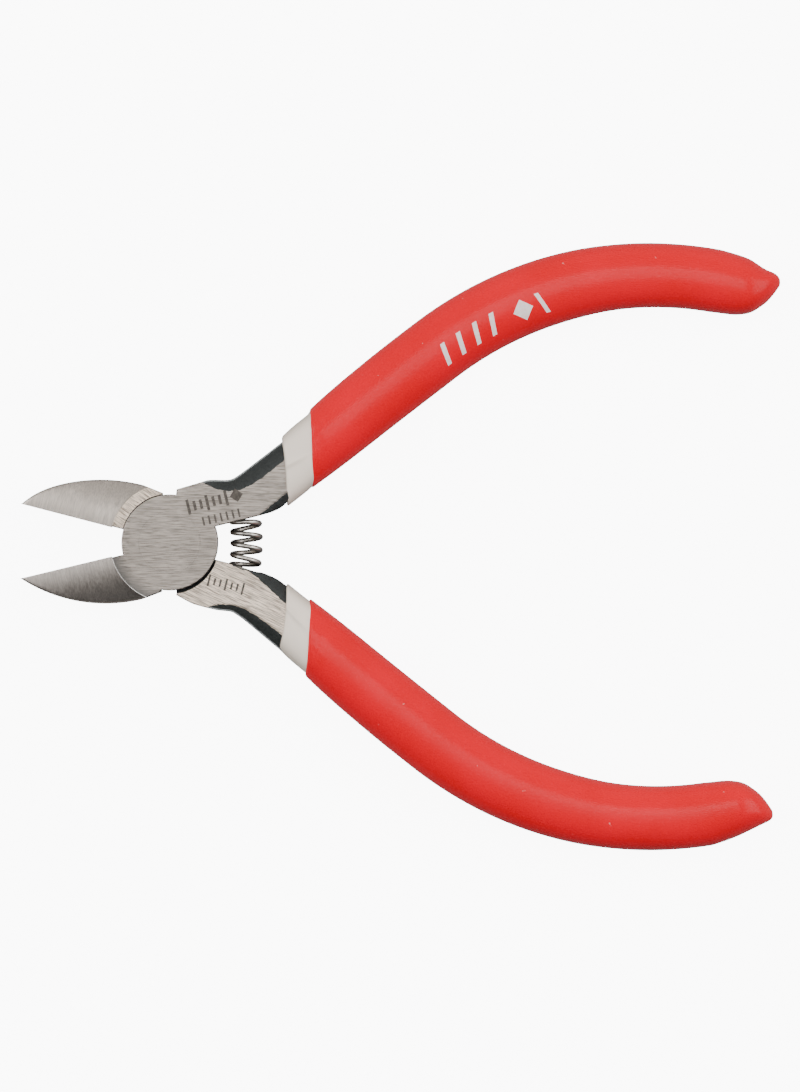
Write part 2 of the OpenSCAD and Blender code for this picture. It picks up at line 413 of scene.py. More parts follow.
def crown(x, y):
    """Height of the jaw's crowned face over the middle."""
    reach = np.sqrt(np.maximum(jaw_crown_r**2 - (y + jaw_crest_y) ** 2, 0.01))
    axis = jaw_root_z - jaw_crown_r / math.cos(jaw_slope) + (x + collar_r) * math.tan(jaw_slope)
    return axis + reach / math.cos(jaw_slope)


def rolled(away, radius):
    """How far a rounded edge of that radius lies below its face at a distance from the outline."""
    d = np.clip(radius - away, 0, radius)
    return radius - np.sqrt(radius**2 - d**2)


def flank_drop(beyond):
    """How far the forged flank has dropped at a distance beyond the ground face."""
    d = np.maximum(beyond, 0)
    return FLANK_SLOPE * d + FLANK_CURVE * d**2


class LeverShape:
    """Heights of one lever's front and rear faces, and which finish each place has."""

    def __init__(self, body):
        self.body = body
        self.loop, self.back, self.lower, self.upper, self.outer = lever_outline(body)
        self.outer_grind = wobbly(spline(OUTER_GRIND[body]))
        self.inner_grind = wobbly(spline(INNER_GRIND[body]))
        self.creases = [self.outer_grind, self.inner_grind]
        edge_start, edge_end = PAINTED_HIGHLIGHT_RADII
        self.creases += [arc((0, 0), r, *COLLAR_ARC) for r in (edge_start, collar_r, edge_end)]
        if body == FRONT:
            self.creases.append(turned(straight((ROLL_X, 5), (ROLL_X, -7)), -open_half))

    def beyond_grind(self, p):
        """How far each point lies beyond the ground face, on the outer and on the inner side."""
        d_out, side_out = distance_and_side(p, self.outer_grind)
        d_in, side_in = distance_and_side(p, self.inner_grind)
        outside = (side_out > 0) & (p[:, 0] > FLANK_X) & (p[:, 1] > FLANK_Y)
        within = (side_in < 0) & (p[:, 0] > self.inner_grind[0, 0])
        return np.where(outside, d_out, 0), np.where(within, d_in, 0)

    def is_jaw(self, p):
        """The crowned part of the jaw."""
        return (p[:, 0] < 0) & (np.hypot(p[:, 0], p[:, 1]) > JAW_FACE_R) & (p[:, 1] < 0)

    def height(self, p, face):
        """Height of a face, which is 1 for the lap disc's side and -1 for the other."""
        x, y = p[:, 0], p[:, 1]
        out, inn = self.beyond_grind(p)
        out = np.maximum(out - np.maximum(RIM - distance(p, self.outer), 0), 0)
        z = half_t - flank_drop(out) - flank_drop(inn)
        if self.body == FRONT and face > 0:
            world_x = turned(p, open_half)[:, 0]
            z = z - ROLL_SLOPE * np.maximum(ROLL_X - world_x, 0)
        jaw = self.is_jaw(p)
        z = np.where(jaw, np.minimum(crown(x, y), z), z)
        back = distance(p, self.back)
        z = z - np.where(jaw, rolled(back, BACK_ROUND), rolled(back, EDGE_ROUND))
        for line in (self.lower, self.upper):
            z = z - rolled(distance(p, line), EDGE_ROUND)
        return z

    def finish(self, p):
        """The finish of each place on a face."""
        out, inn = self.beyond_grind(p)
        r = np.hypot(p[:, 0], p[:, 1])
        jaw_side = (p[:, 0] < 0) & (p[:, 1] < 0)
        finish = np.full(len(p), GROUND)
        finish[self.is_jaw(p)] = JAW
        if self.body == FRONT:
            finish[(r < PAINTED_HIGHLIGHT_RADII[0]) & jaw_side] = COLLAR
            # Painted highlight: the thin strip on the ridge between collar and jaw gets a bright finish
            finish[(r > PAINTED_HIGHLIGHT_RADII[0]) & (r < PAINTED_HIGHLIGHT_RADII[1]) & jaw_side] = PAINTED_HIGHLIGHT
        else:
            finish[(r > recess_r) & (r < collar_r) & jaw_side] = COLLAR
        finish[(out > 0) | (inn > 0)] = OXIDE
        # Painted edge highlight: the outer rim of the flank gets a lighter grey finish
        finish[(out > 0) & (distance(p, self.outer) < RIM * RIM_HIGHLIGHT_SHARE)] = PAINTED_RIM_HIGHLIGHT
        return finish

    def points(self):
        """Points to triangulate, and the edges that the triangles must follow."""
        loop, outline = self.loop, closed(self.loop)
        points, edges = [loop], loop_edges(loop)
        along = np.roll(loop, -1, 0) - np.roll(loop, 1, 0)
        along /= np.linalg.norm(along, axis=1)[:, None]
        inward = np.stack([-along[:, 1], along[:, 0]], 1)
        for offset in EDGE_RINGS:
            ring = loop + inward * offset
            points.append(ring[(distance(ring, outline) > offset * RING_SHARE) & inside(ring, loop)])
        for crease in self.creases:
            first = sum(len(p) for p in points)
            kept = crease[inside(crease, loop) & (distance(crease, outline) > 0.01)]
            points.append(kept)
            edges += [(first + i, first + i + 1) for i in range(len(kept) - 1)]
        grid = grid_over(loop, FILL, stagger=FILL / 2)
        grid = grid[inside(grid, loop) & (distance(grid, outline) > BACK_ROUND + FILL_CLEAR)]
        for crease in self.creases:
            grid = grid[distance(grid, crease) > FILL_CLEAR]
        points.append(grid)
        return np.vstack(points), edges


def lever_slab(shape):
    """Closed mesh between a lever's two faces, before its joint is cut."""
    p, tris = triangulated(*shape.points(), 1e-5)
    a, b, c = p[tris[:, 0]], p[tris[:, 1]], p[tris[:, 2]]
    area = np.cross(b - a, c - a)
    tris[area < 0] = tris[area < 0][:, ::-1]
    centres = (a + b + c) / 3
    keep = inside(centres, shape.loop) & (np.abs(area) > 1e-7)
    tris, centres = tris[keep], centres[keep]
    finishes = shape.finish(centres)
    top = shape.height(p, 1)
    bottom = -shape.height(p, -1)
    n = len(p)
    faces = [tuple(t) for t in tris] + [(t[2] + n, t[1] + n, t[0] + n) for t in tris]
    numbers = list(finishes) * 2
    uses = {}
    for number, t in enumerate(tris):
        for i, j in ((t[0], t[1]), (t[1], t[2]), (t[2], t[0])):
            uses.setdefault((min(i, j), max(i, j)), []).append((i, j, number))
    for found in uses.values():
        if len(found) == 1:
            i, j, number = found[0]
            faces.append((i, i + n, j + n, j))
            numbers.append(WALL_FINISH[finishes[number]])
    mesh = outward("lever", np.vstack([np.column_stack([p, top]), np.column_stack([p, bottom])]), faces)
    mesh.polygons.foreach_set("material_index", np.array(numbers, np.int32))
    return mesh


# ---------- cutters ----------

# Direction from the pivot in which the recess is widest
RECESS_WIDEST = math.radians(80)
# Depth of the countersinks, and the hairline of room round the rivet's heads
COUNTERSINK, HAIRLINE = 1.4, 0.01
# Radius of each seat's flared mouth, and how deep the flare goes
SEAT_FLARE = {FRONT: 2.6, REAR: 3.3}
FLARE_DEPTH = 0.9


def recess_cutter():
    """Room on the other lever's side of the lap, wider along the neck."""
    a = np.radians(np.arange(-90, 270, 2))
    along_neck = neck_recess_r + neck_recess_shift * np.cos(a - RECESS_WIDEST)
    r = np.where(np.cos(a) > 0, np.maximum(along_neck, recess_r), recess_r)
    return prism(np.column_stack([r * np.cos(a), r * np.sin(a)]), -half_t - 2, lap_gap / 2)


def rivet_cutter():
    """The rivet's countersunk hole."""
    head = rivet_head_r + HAIRLINE
    shank = head - COUNTERSINK
    return lathe([(head + 1, -half_t - 1), (shank, -half_t + COUNTERSINK),
                  (shank, half_t - COUNTERSINK), (head + 1, half_t + 1)])


def seat_cutter(flare):
    """Blind seat for the spring's end, bored up from the neck's inner edge and flared at its mouth."""
    mesh = lathe([(flare, -1), (flare, 0), (seat_r, FLARE_DEPTH), (seat_r, seat_depth)], 96)
    upright = Matrix.Rotation(math.radians(-90), 4, "X")
    mesh.transform(Matrix.Translation((seat_x, neck_inner_y, 0)) @ upright)
    return mesh


def bevel_cutter(face):
    """Wedge under the cutting edge, on the side away from the flush face."""
    size = jaw_len
    mesh = prism([(-size, 0), (0, 0), (0, size), (-size, size)], -size, 0)
    mesh.transform(Matrix.Rotation(math.radians(-bevel), 4, "X"))
    mesh.transform(Matrix.Rotation(-jaw_slope, 4, "Y"))
    mesh.transform(Matrix.Translation((-collar_r, -edge_gap / 2, jaw_root_z - edge_land)))
    mesh.transform(Matrix.Diagonal((1, 1, face, 1)))
    if face < 0:
        mesh.flip_normals()
    return mesh


def cut(obj, cutters):
    """Takes each cutter away from an object's mesh and gives the cut faces its finish."""
    for cutter, number in cutters:
        for material in obj.data.materials:
            cutter.materials.append(material)
        cutter.polygons.foreach_set("material_index", np.full(len(cutter.polygons), number, np.int32))
        tool = object_of("cutter", cutter)
        modifier = obj.modifiers.new("cut", "BOOLEAN")
        modifier.operation = "DIFFERENCE"
        modifier.solver = "EXACT"
        modifier.object = tool
        bpy.context.view_layer.update()
        evaluated = obj.evaluated_get(bpy.context.evaluated_depsgraph_get())
        mesh = bpy.data.meshes.new_from_object(evaluated)
        obj.modifiers.remove(modifier)
        obj.data = mesh
        bpy.data.objects.remove(tool)


def smooth(obj, angle=32):
    """Smooth shading with sharp edges kept, and big flat faces left flat."""
    obj.data.shade_smooth()
    obj.data.set_sharp_from_angle(angle=math.radians(angle))
    weighted = obj.modifiers.new("weighted", "WEIGHTED_NORMAL")
    weighted.keep_sharp = True


def to_rest(obj, body):
    """Turns a lever's piece from its drawing to rest, and moves it to the joint."""
    flip = Matrix.Identity(4) if body == FRONT else Matrix.Rotation(math.pi, 4, "X")
    turn = math.radians(open_half if body == FRONT else -open_half)
    matrix = (Matrix.Scale(MM, 4) @ Matrix.Translation((0, 0, mid_z))
              @ Matrix.Rotation(turn, 4, "Z") @ flip)
    obj.data.transform(matrix)
    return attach(obj, body)


# ---------- materials ----------

class Nodes:
    """A short way to write a node tree."""

    def __init__(self, owner):
        owner.use_nodes = True
        self.owner = owner
        self.tree = owner.node_tree
        self.shader = self.tree.nodes.get("Principled BSDF") or self.tree.nodes.get("Background")

    def put(self, kind, **values):
        """A node with some properties, and inputs given by name or number."""
        node = self.tree.nodes.new("ShaderNode" + kind)
        inputs = values.pop("inputs", {})
        for key, value in values.items():
            setattr(node, key, value)
        for key, value in inputs.items():
            if isinstance(value, bpy.types.NodeSocket):
                self.tree.links.new(value, node.inputs[key])
            else:
                node.inputs[key].default_value = value
        return node

    def coordinates(self, turn=0.0, stretch=(1, 1, 1)):
        """The object's own coordinates in metres, turned about Z and then stretched."""
        source = self.put("TexCoord").outputs["Object"]
        spun = self.put("VectorRotate", rotation_type="Z_AXIS",
                        inputs={"Vector": source, "Angle": -math.radians(turn)}).outputs[0]
        return self.put("VectorMath", operation="MULTIPLY", inputs={0: spun, 1: stretch}).outputs[0]

    def noise(self, vector, scale=1.0, detail=4.0, roughness=0.55):
        """Noise between 0 and 1."""
        return self.put("TexNoise", inputs={"Vector": vector, "Scale": scale, "Detail": detail,
                                            "Roughness": roughness}).outputs["Fac"]

    def ramp(self, value, low, high, a=0.0, b=1.0, kind="LINEAR"):
        """Value from low to high turned into a to b."""
        return self.put("MapRange", interpolation_type=kind,
                        inputs={"Value": value, "From Min": low, "From Max": high,
                                "To Min": a, "To Max": b}).outputs[0]

    def maths(self, operation, a, b=0.0):
        """Two values added, multiplied and so on."""
        return self.put("Math", operation=operation, inputs={0: a, 1: b}).outputs[0]

    def mix(self, factor, a, b):
        """Colour a at factor 0 and colour b at factor 1, each as red, green and blue or as a link."""
        a, b = [c if isinstance(c, bpy.types.NodeSocket) else (*c, 1) for c in (a, b)]
        return self.put("Mix", data_type="RGBA", inputs={0: factor, 6: a, 7: b}).outputs[2]

    def facing(self):
        """0 where the surface faces the camera, up to 1 where it turns away."""
        return self.put("LayerWeight", inputs={"Blend": 0.5}).outputs["Facing"]

    def bump(self, height, depth):
        """Normals of a surface with a height of up to depth, in metres."""
        return self.put("Bump", inputs={"Height": height, "Distance": depth}).outputs[0]

    def set(self, **values):
        """Values or links for the shader's inputs, with _ for a space."""
        for key, value in values.items():
            socket = self.shader.inputs[key.replace("_", " ")]
            if isinstance(value, bpy.types.NodeSocket):
                self.tree.links.new(value, socket)
            else:
                socket.default_value = value
        return self.owner


def nodes_of(name):
    """The nodes of a new material."""
    return Nodes(bpy.data.materials.new(name))


# Grinding streaks as noise cells per metre, along the streaks and across them
FINE_STREAKS = (480, 9500, 9500)
BROAD_STREAKS = (200, 3300, 3300)
CLOUDS = (220, 420, 420)
STREAK_DEPTH = 0.000014
# Radii between which the front collar falls into shadow
SHADOW = (disc_r * 0.96 * MM, collar_r * 0.97 * MM)


def brushed_steel(name, turn, light, dark, roughness=0.38, streak=1.0, shadow=None):
    """Ground steel with streaks at an angle in degrees from X, and with any shadow past the disc."""
    n = nodes_of(name)
    fine = n.noise(n.coordinates(turn, FINE_STREAKS), detail=3, roughness=0.6)
    broad = n.noise(n.coordinates(turn, BROAD_STREAKS), detail=3)
    cloud = n.noise(n.coordinates(turn, CLOUDS), detail=2)
    lines = n.maths("ADD", n.maths("MULTIPLY", fine, 0.75), n.maths("MULTIPLY", broad, 0.25))
    spread = 0.09 / streak
    colour = n.mix(n.ramp(lines, 0.5 - spread, 0.5 + spread), dark, light)
    colour = n.mix(n.ramp(cloud, 0.35, 0.7, 0, 0.3), colour, [c * 0.86 for c in dark])
    if shadow:
        radius = n.put("VectorMath", operation="LENGTH", inputs={0: n.coordinates(0, (1, 1, 0))})
        colour = n.mix(n.ramp(radius.outputs["Value"], *SHADOW, 0, 0.9), colour, shadow)
    return n.set(Base_Color=colour, Metallic=0.9, Normal=n.bump(lines, STREAK_DEPTH * streak),
                 Roughness=n.ramp(lines, 0.3, 0.7, roughness - 0.08, roughness + 0.1))


def black_oxide(name, dark, light):
    """Forged scale, matt and finely speckled."""
    n = nodes_of(name)
    grain = n.noise(n.coordinates(), scale=6500, detail=4, roughness=0.75)
    mottle = n.noise(n.coordinates(), scale=900, detail=3)
    colour = n.mix(n.ramp(grain, 0.38, 0.72), dark, light)
    colour = n.mix(n.ramp(mottle, 0.3, 0.7, 0, 0.35), colour, [c * 0.6 for c in light])
    return n.set(Base_Color=colour, Metallic=0.3, Roughness=n.ramp(grain, 0.3, 0.7, 0.5, 0.68),
                 Normal=n.bump(grain, 0.00004))


def dipped_vinyl(name, base, deep, painted_edge_shade_and_sheen, roughness, gloss, unevenness):
    """Satin dipped plastic with faint flow marks, a few specks and a painted edge shade and sheen at
    its sides.
    """
    n = nodes_of(name)
    flow = n.noise(n.coordinates(), scale=130, detail=3)
    pores = n.noise(n.coordinates(), scale=2600, detail=3, roughness=0.6)
    specks = n.noise(n.coordinates(), scale=1500, detail=1)
    colour = n.mix(n.ramp(flow, 0.3, 0.7), base, deep)
    colour = n.mix(n.ramp(specks, 0.79, 0.83, 0, 0.35), colour, (0.8, 0.62, 0.55))
    # Painted edge shade and sheen: where the surface turns from the camera, the colour moves to a
    # darker one on the white sleeve and a pinker one on the red grip
    facing = n.facing()
    colour = n.mix(n.ramp(facing, 0.1, 0.8, 0, 0.8), colour, painted_edge_shade_and_sheen)
    height = n.maths("ADD", n.maths("MULTIPLY", flow, 6.0), pores)
    return n.set(Base_Color=colour, Normal=n.bump(height, unevenness), Specular_IOR_Level=gloss,
                 Roughness=n.ramp(pores, 0.3, 0.7, roughness - 0.05, roughness + 0.07))


def drawn_wire(name):
    """Spring wire, bright and in places dark with oil, with painted shade along its sides."""
    n = nodes_of(name)
    drawn = n.noise(n.coordinates(), scale=3500, detail=3)
    oil = n.noise(n.coordinates(), scale=500, detail=2)
    colour = n.mix(n.ramp(oil, 0.35, 0.65), (0.62, 0.58, 0.53), (0.34, 0.32, 0.3))
    # Painted shade: the wire goes nearly black where it turns from the camera
    facing = n.facing()
    colour = n.mix(n.ramp(facing, 0.3, 0.9), colour, (0.07, 0.062, 0.055))
    return n.set(Base_Color=colour, Metallic=1.0, Roughness=n.ramp(drawn, 0.3, 0.7, 0.3, 0.42),
                 Normal=n.bump(drawn, 0.000008))


def marking(name, colour, worn, metallic):
    """Printed or etched marks, slightly worn."""
    n = nodes_of(name)
    wear = n.noise(n.coordinates(), scale=2500, detail=4)
    shade = n.mix(n.ramp(wear, 0.4, 0.7, 0, 0.6), colour, worn)
    return n.set(Base_Color=shade, Metallic=metallic, Roughness=n.ramp(wear, 0.3, 0.7, 0.45, 0.6))


def finishes_of(body, ground, jaw, collar):
    """The finishes of a lever, in the order of their numbers."""
    return [
        brushed_steel(body + "_ground", **ground),
        brushed_steel(body + "_jaw", **jaw),
        brushed_steel(body + "_collar", **collar),
        black_oxide(body + "_oxide", (0.005, 0.007, 0.007), (0.045, 0.052, 0.05)),
        # Painted highlight: bright steel for the strip on the ridge between collar and jaw
        brushed_steel(body + "_painted_ridge_highlight", 0, (0.8, 0.78, 0.75), (0.6, 0.58, 0.55), 0.3),
        # Painted edge highlight: a lighter grey oxide along the neck's outer rim
        black_oxide(body + "_painted_rim_highlight", (0.17, 0.185, 0.185), (0.34, 0.36, 0.36)),
    ]


FRONT_GROUND = {"turn": 0, "light": (0.42, 0.371, 0.327), "dark": (0.16, 0.141, 0.124),
                "streak": 1.15}
FRONT_JAW = {"turn": 104, "light": (0.47, 0.425, 0.388), "dark": (0.34, 0.307, 0.281), "streak": 0.8,
             "roughness": 0.36}
FRONT_COLLAR = {**FRONT_GROUND, "shadow": (0.1, 0.095, 0.09)}
REAR_GROUND = {"turn": -24, "light": (0.88, 0.74, 0.61), "dark": (0.26, 0.22, 0.181), "streak": 1.6}
REAR_JAW = {"turn": 76, "light": (0.56, 0.502, 0.448), "dark": (0.39, 0.349, 0.312), "streak": 0.8}
REAR_COLLAR = {"turn": -35, "light": (0.83, 0.695, 0.56), "dark": (0.24, 0.2, 0.163), "streak": 1.8}

FINISHES = {
    FRONT: finishes_of(FRONT, FRONT_GROUND, FRONT_JAW, FRONT_COLLAR),
    REAR: finishes_of(REAR, REAR_GROUND, REAR_JAW, REAR_COLLAR),
}
rivet_finish = brushed_steel("rivet_ground", **FRONT_GROUND)
wire_finish = drawn_wire("spring_wire")
white_finish = dipped_vinyl(
    "white_dip", base=(0.97, 0.86, 0.74), deep=(0.92, 0.81, 0.7), painted_edge_shade_and_sheen=(0.58, 0.51, 0.43),
    roughness=0.4, gloss=0.3, unevenness=0.000005)
red_finish = dipped_vinyl(
    "red_dip", base=(0.8, 0.0, 0.016), deep=(0.72, 0.0, 0.01), painted_edge_shade_and_sheen=(0.8, 0.02, 0.03),
    roughness=0.24, gloss=0.11, unevenness=0.000002)
print_finish = marking("pad_print", (0.95, 0.87, 0.85), (0.9, 0.6, 0.57), metallic=0.0)
etch_finish = marking("laser_etch", (0.055, 0.046, 0.038), (0.17, 0.15, 0.13), metallic=0.5)

# ---------- levers ----------

def steel_lever(body):
    """One forged and ground lever, from its jaw to under its sleeve."""
    shape = LeverShape(body)
    obj = object_of(body + "_steel", lever_slab(shape))
    for material in FINISHES[body]:
        obj.data.materials.append(material)
    bevel_side = 1 if body == FRONT else -1
    cut(obj, [(bevel_cutter(bevel_side), JAW), (recess_cutter(), OXIDE), (rivet_cutter(), OXIDE),
              (seat_cutter(SEAT_FLARE[body]), OXIDE)])
    smooth(obj)
    return to_rest(obj, body)


for body, node in ((FRONT, "front_half"), (REAR, "rear_half")):
    lever = steel_lever(body)
    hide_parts(node)

rivet = frame["nodes"]["pivot_rivet"]
rivet.data.materials.clear()
rivet.data.materials.append(rivet_finish)

# ---------- dipped covers ----------

COVER_SIDES = 128
# Distance along the lever to the grip's point, and the point's offset to the outer side
TIP_AT = {FRONT: 85.1, REAR: 84.75}
TIP_OFFSET = 1.5


def on_lever(s, v):
    """Where a distance along the lever and an offset to its outer side are in the drawing."""
    turn = np.maximum(s - bend_start, 0) / bend_r
    x = np.where(s < bend_start, s, bend_start + (bend_r + v) * np.sin(turn))
    y = np.where(s < bend_start, v, -bend_r + (bend_r + v) * np.cos(turn))
    y = y - lever_drop
    c, d = math.cos(lever_angle), math.sin(lever_angle)
    return x * c - y * d, x * d + y * c


def superellipse(power):
    """Places spaced evenly round a superellipse of unit half width and half height."""
    a = np.linspace(0, 2 * math.pi, 4001)
    c, d = np.cos(a), np.sin(a)
    x, y = np.sign(c) * np.abs(c) ** (2 / power), np.sign(d) * np.abs(d) ** (2 / power)
    run = np.concatenate([[0], np.cumsum(np.hypot(np.diff(x), np.diff(y)))])
    at = np.arange(COVER_SIDES) / COVER_SIDES * run[-1]
    return np.interp(at, run, x), np.interp(at, run, y)


# Distance from the tip, as its square root, against the share of the full width on each side
NOSE_REACH = 2.8
NOSE_OUTER = {
    FRONT: [(0, 0.38), (0.3, 0.5), (0.55, 0.605), (0.85, 0.685), (1.15, 0.725), (1.4, 0.735),
            (1.65, 0.78), (1.9, 0.86), (2.15, 0.93), (NOSE_REACH, 1)],
    REAR: [(0, 0.38), (0.3, 0.52), (0.55, 0.615), (0.85, 0.665), (1.15, 0.695), (1.4, 0.72),
           (1.65, 0.758), (1.9, 0.808), (2.15, 0.865), (NOSE_REACH, 1)],
}
NOSE_INNER = [(0, -0.38), (0.3, -0.27), (0.6, -0.03), (0.9, 0.24), (1.2, 0.47), (1.5, 0.69),
              (1.8, 0.83), (2.2, 0.94), (NOSE_REACH, 1)]
# Length over which the faces are drawn in to the tip
NOSE_FACE = 4.2
# Half the width that a lip's slant is measured over, and the length in which the slant fades out
LIP_HALF_WIDTH = 4
SLANT_FADE = 14
# Radius of the rounded lip, and how far its hidden start is drawn in
LIP, LIP_HIDDEN = 0.35, 0.3
# Rings round the lip and round the tip, and the square root of the last one's distance to the point
LIP_RINGS, NOSE_RINGS, LAST_RING = 7, 36, 0.06
# Distance from the lip to the next ring, and between the rings after it
FIRST_STEP, STEP = 0.25, 0.55
# The steel's edge under the white sleeve: where it starts to turn and over what length, its width
# and its rise, and where its fading ends and over what length
RIDGE_TURN, RIDGE_TURN_LENGTH = 16, 4
RIDGE_WIDTH, RIDGE_RISE = 0.3, 0.07
RIDGE_END, RIDGE_FADE = 20.4, 2


class Cover:
    """Shape of a dipped cover along its lever, which ends short of the grip's point by short."""

    def __init__(self, body, start, slant, bulge, outer, inner, thick, power, short=0.0, ridge=()):
        self.start, self.slant, self.bulge = start, slant, bulge
        self.outer, self.inner, self.thick = (spline(points, 0.1) for points in (outer, inner, thick))
        self.power = power
        self.around = superellipse(power)
        self.tip = TIP_AT[body] - short
        self.nose_outer, self.nose_inner = spline(NOSE_OUTER[body], 0.05), spline(NOSE_INNER, 0.05)
        self.ridge = ridge

    def widths(self, s):
        """Offsets of the outer and inner side at a distance along the lever, drawn in to the tip."""
        t = np.sqrt(np.clip(self.tip - s, 0, None))
        near = t < NOSE_REACH
        outer = np.interp(s, *self.outer.T)
        inner = -np.interp(s, *self.inner.T)
        outer = np.where(near, np.interp(t, *self.nose_outer.T) * outer, outer)
        inner = np.where(near, np.interp(t, *self.nose_inner.T) * inner, inner)
        return outer, inner

    def height(self, s, v, outer, inner):
        """Height of the face over the middle at an offset between the two sides."""
        left = np.clip((self.tip - s) / NOSE_FACE, 0, 1)
        thick = np.interp(s, *self.thick.T) * np.sqrt(1 - (1 - left) ** 2)
        across = np.clip(np.abs(v - (outer + inner) / 2) / np.maximum((outer - inner) / 2, 1e-6), 0, 1)
        return thick * (1 - across**self.power) ** (1 / self.power)

    def slant_left(self, s):
        """The share of the lip's slant that is left at a distance along the lever."""
        return np.clip(1 - (s - self.start) / SLANT_FADE, 0, 1)

    def along(self, s, v):
        """Where an offset at a distance behind the slanted lip lies along the lever."""
        return s + (self.slant * v + self.bulge * (1 - (v / LIP_HALF_WIDTH) ** 2)) * self.slant_left(s)

    def ridge_rise(self, s, v):
        """How much the steel's ridge raises the face at a place, as a share of its height."""
        start, stop = self.ridge
        middle = start + (stop - start) * np.clip((s - RIDGE_TURN) / RIDGE_TURN_LENGTH, 0, 1)
        fade = np.clip((RIDGE_END - s) / RIDGE_FADE, 0, 1)
        return RIDGE_RISE * fade * np.exp(-((v - middle) / RIDGE_WIDTH) ** 2)


def red_cover(body, start, slant):
    """The grip's thick outer cover."""
    return Cover(body, start, slant, bulge=0.28, power=2.45,
                 outer=[(15, 3.4), (21, 3.55), (23.4, 3.76), (26, 4), (30, 4.2), (36, 4.32), (44, 4.27),
                        (59, 4.2), (66, 4.08), (74, 3.95), (86, 3.8)],
                 inner=[(15, 3.95), (19, 4.12), (24, 4.22), (33, 4.2), (47, 4.25), (57, 4.2), (65, 4),
                        (74, 3.95), (86, 3.95)],
                 thick=[(15, grip_half_t - 0.2), (22, grip_half_t - 0.12), (28, grip_half_t),
                        (74, grip_half_t), (86, grip_half_t)])


def white_cover(body, start, slant, bulge, lip_inner, ridge):
    """The inner sleeve, whose face shows the steel's ridge under it from one offset to another."""
    return Cover(body, start, slant, bulge, short=0.6, power=3.0,
                 outer=[(13, 2.7), (17, 2.98), (19, 3.22), (21, 3.42), (24, 3.48), (30, 3.7),
                        (86, 3.4)],
                 inner=[(13, lip_inner), (17, lip_inner), (20, 3.86), (30, 3.8), (86, 3.5)],
                 thick=[(13, 3.3), (17, 3.42), (21, 3.55), (28, 3.55), (86, 3.5)], ridge=ridge)


def ring(shape, s, inset):
    """Points round a cover at a distance behind its lip, drawn in by inset."""
    c, d = shape.around
    reach = shape.slant * LIP_HALF_WIDTH * shape.slant_left(s)
    outer = shape.widths(s + reach)[0] - inset
    inner = shape.widths(s - reach)[1] + inset
    middle = (outer + inner) / 2
    v = middle + (outer - inner) / 2 * c
    along = shape.along(s, v)
    up = (shape.height(along, np.full_like(v, middle), outer, inner) - inset) * d
    if shape.ridge:
        up = up * (1 + shape.ridge_rise(along, v))
    x, y = on_lever(along, v)
    return np.column_stack([x, y, up])


def cover(name, shape):
    """Dipped cover from a slanted, rounded lip to its domed end."""
    quarter = np.linspace(0, math.pi / 2, LIP_RINGS)
    lip = [(LIP * (1 - math.cos(a)), LIP * (1 - math.sin(a))) for a in quarter]
    stations = [(0.0, LIP + LIP_HIDDEN)] + lip
    length = shape.tip - shape.start
    stations += [(d, 0) for d in np.arange(LIP + FIRST_STEP, length - NOSE_REACH**2, STEP)]
    stations += [(length - t**2, 0) for t in np.linspace(NOSE_REACH, LAST_RING, NOSE_RINGS)]
    rings = [ring(shape, shape.start + ahead, inset) for ahead, inset in stations]
    x, y = on_lever(np.array(shape.tip), np.array(TIP_OFFSET))
    return object_of(name, tube(name, rings, (x, y, 0)))


RED = {FRONT: red_cover(FRONT, 20.9, 0.73), REAR: red_cover(REAR, 20.65, 0.71)}
WHITE = {FRONT: white_cover(FRONT, 16.7, 0.64, 0.35, 4.02, (0.3, -0.5)),
         REAR: white_cover(REAR, 16.6, 0.61, 0.55, 3.8, (-1.5, -0.9))}

for body, side in ((FRONT, "front"), (REAR, "rear")):
    for name, shape, finish, node, slot in (
            ("white_sleeve", WHITE[body], white_finish, "inner_sleeve", "white_dip"),
            ("red_grip", RED[body], red_finish, "grip", "red_dip")):
        piece = cover(side + "_" + name, shape)
        piece.data.materials.append(finish)
        smooth(piece, 50)
        to_rest(piece, body)
        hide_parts(side + "_" + node)

# ---------- plain marks, printed on the front grip and etched in the steel ----------

# Spacing of a mark's points, and how far those inside it keep from its outline
MARK_FILL, MARK_CLEAR = 0.3, 0.12
# Heights of a mark's top and of its hidden root over the surface
MARK_TOP, MARK_ROOT = 0.025, -0.05
# The etched marks stand out by this share of the printed ones
ETCHED = 0.4


def marks(name, shapes, lift, finish, body):
    """Thin closed mesh of flat outlines, which lift puts on the surface at a height over it."""
    verts, faces = [], []
    for outline in shapes:
        sides = zip(outline, np.roll(outline, -1, 0))
        outline = np.vstack([straight(a, b, MARK_FILL)[:-1] for a, b in sides])
        grid = grid_over(outline, MARK_FILL)
        grid = grid[inside(grid, outline) & (distance(grid, closed(outline)) > MARK_CLEAR)]
        edges = loop_edges(outline)
        flat, tris = triangulated(np.vstack([outline, grid]), edges, 1e-6)
        first, count = len(verts), len(flat)
        verts += list(lift(flat, MARK_TOP)) + list(lift(flat, MARK_ROOT))
        for t in tris[inside(flat[tris].mean(1), outline)] + first:
            faces += [tuple(t), tuple(t[::-1] + count)]
        faces += [(first + i, first + j, first + count + j, first + count + i) for i, j in edges]
    obj = object_of(name, outward(name, verts, faces))
    obj.data.materials.append(finish)
    to_rest(obj, body)


def bar(x, y, width, tall, lean=0.0):
    """Upright bar about a place, its top moved along by lean."""
    w, h = width / 2, tall / 2
    return np.array([(x - w - lean, y - h), (x + w - lean, y - h),
                     (x + w + lean, y + h), (x - w + lean, y + h)])


def row(count, x, y, pitch, width, tall, short=None, lean=0.0):
    """Row of bars. Every third one is tall and the others are short, where short is given."""
    return [bar(x + pitch * i, y, width, short if short and i % 3 else tall, lean)
            for i in range(count)]


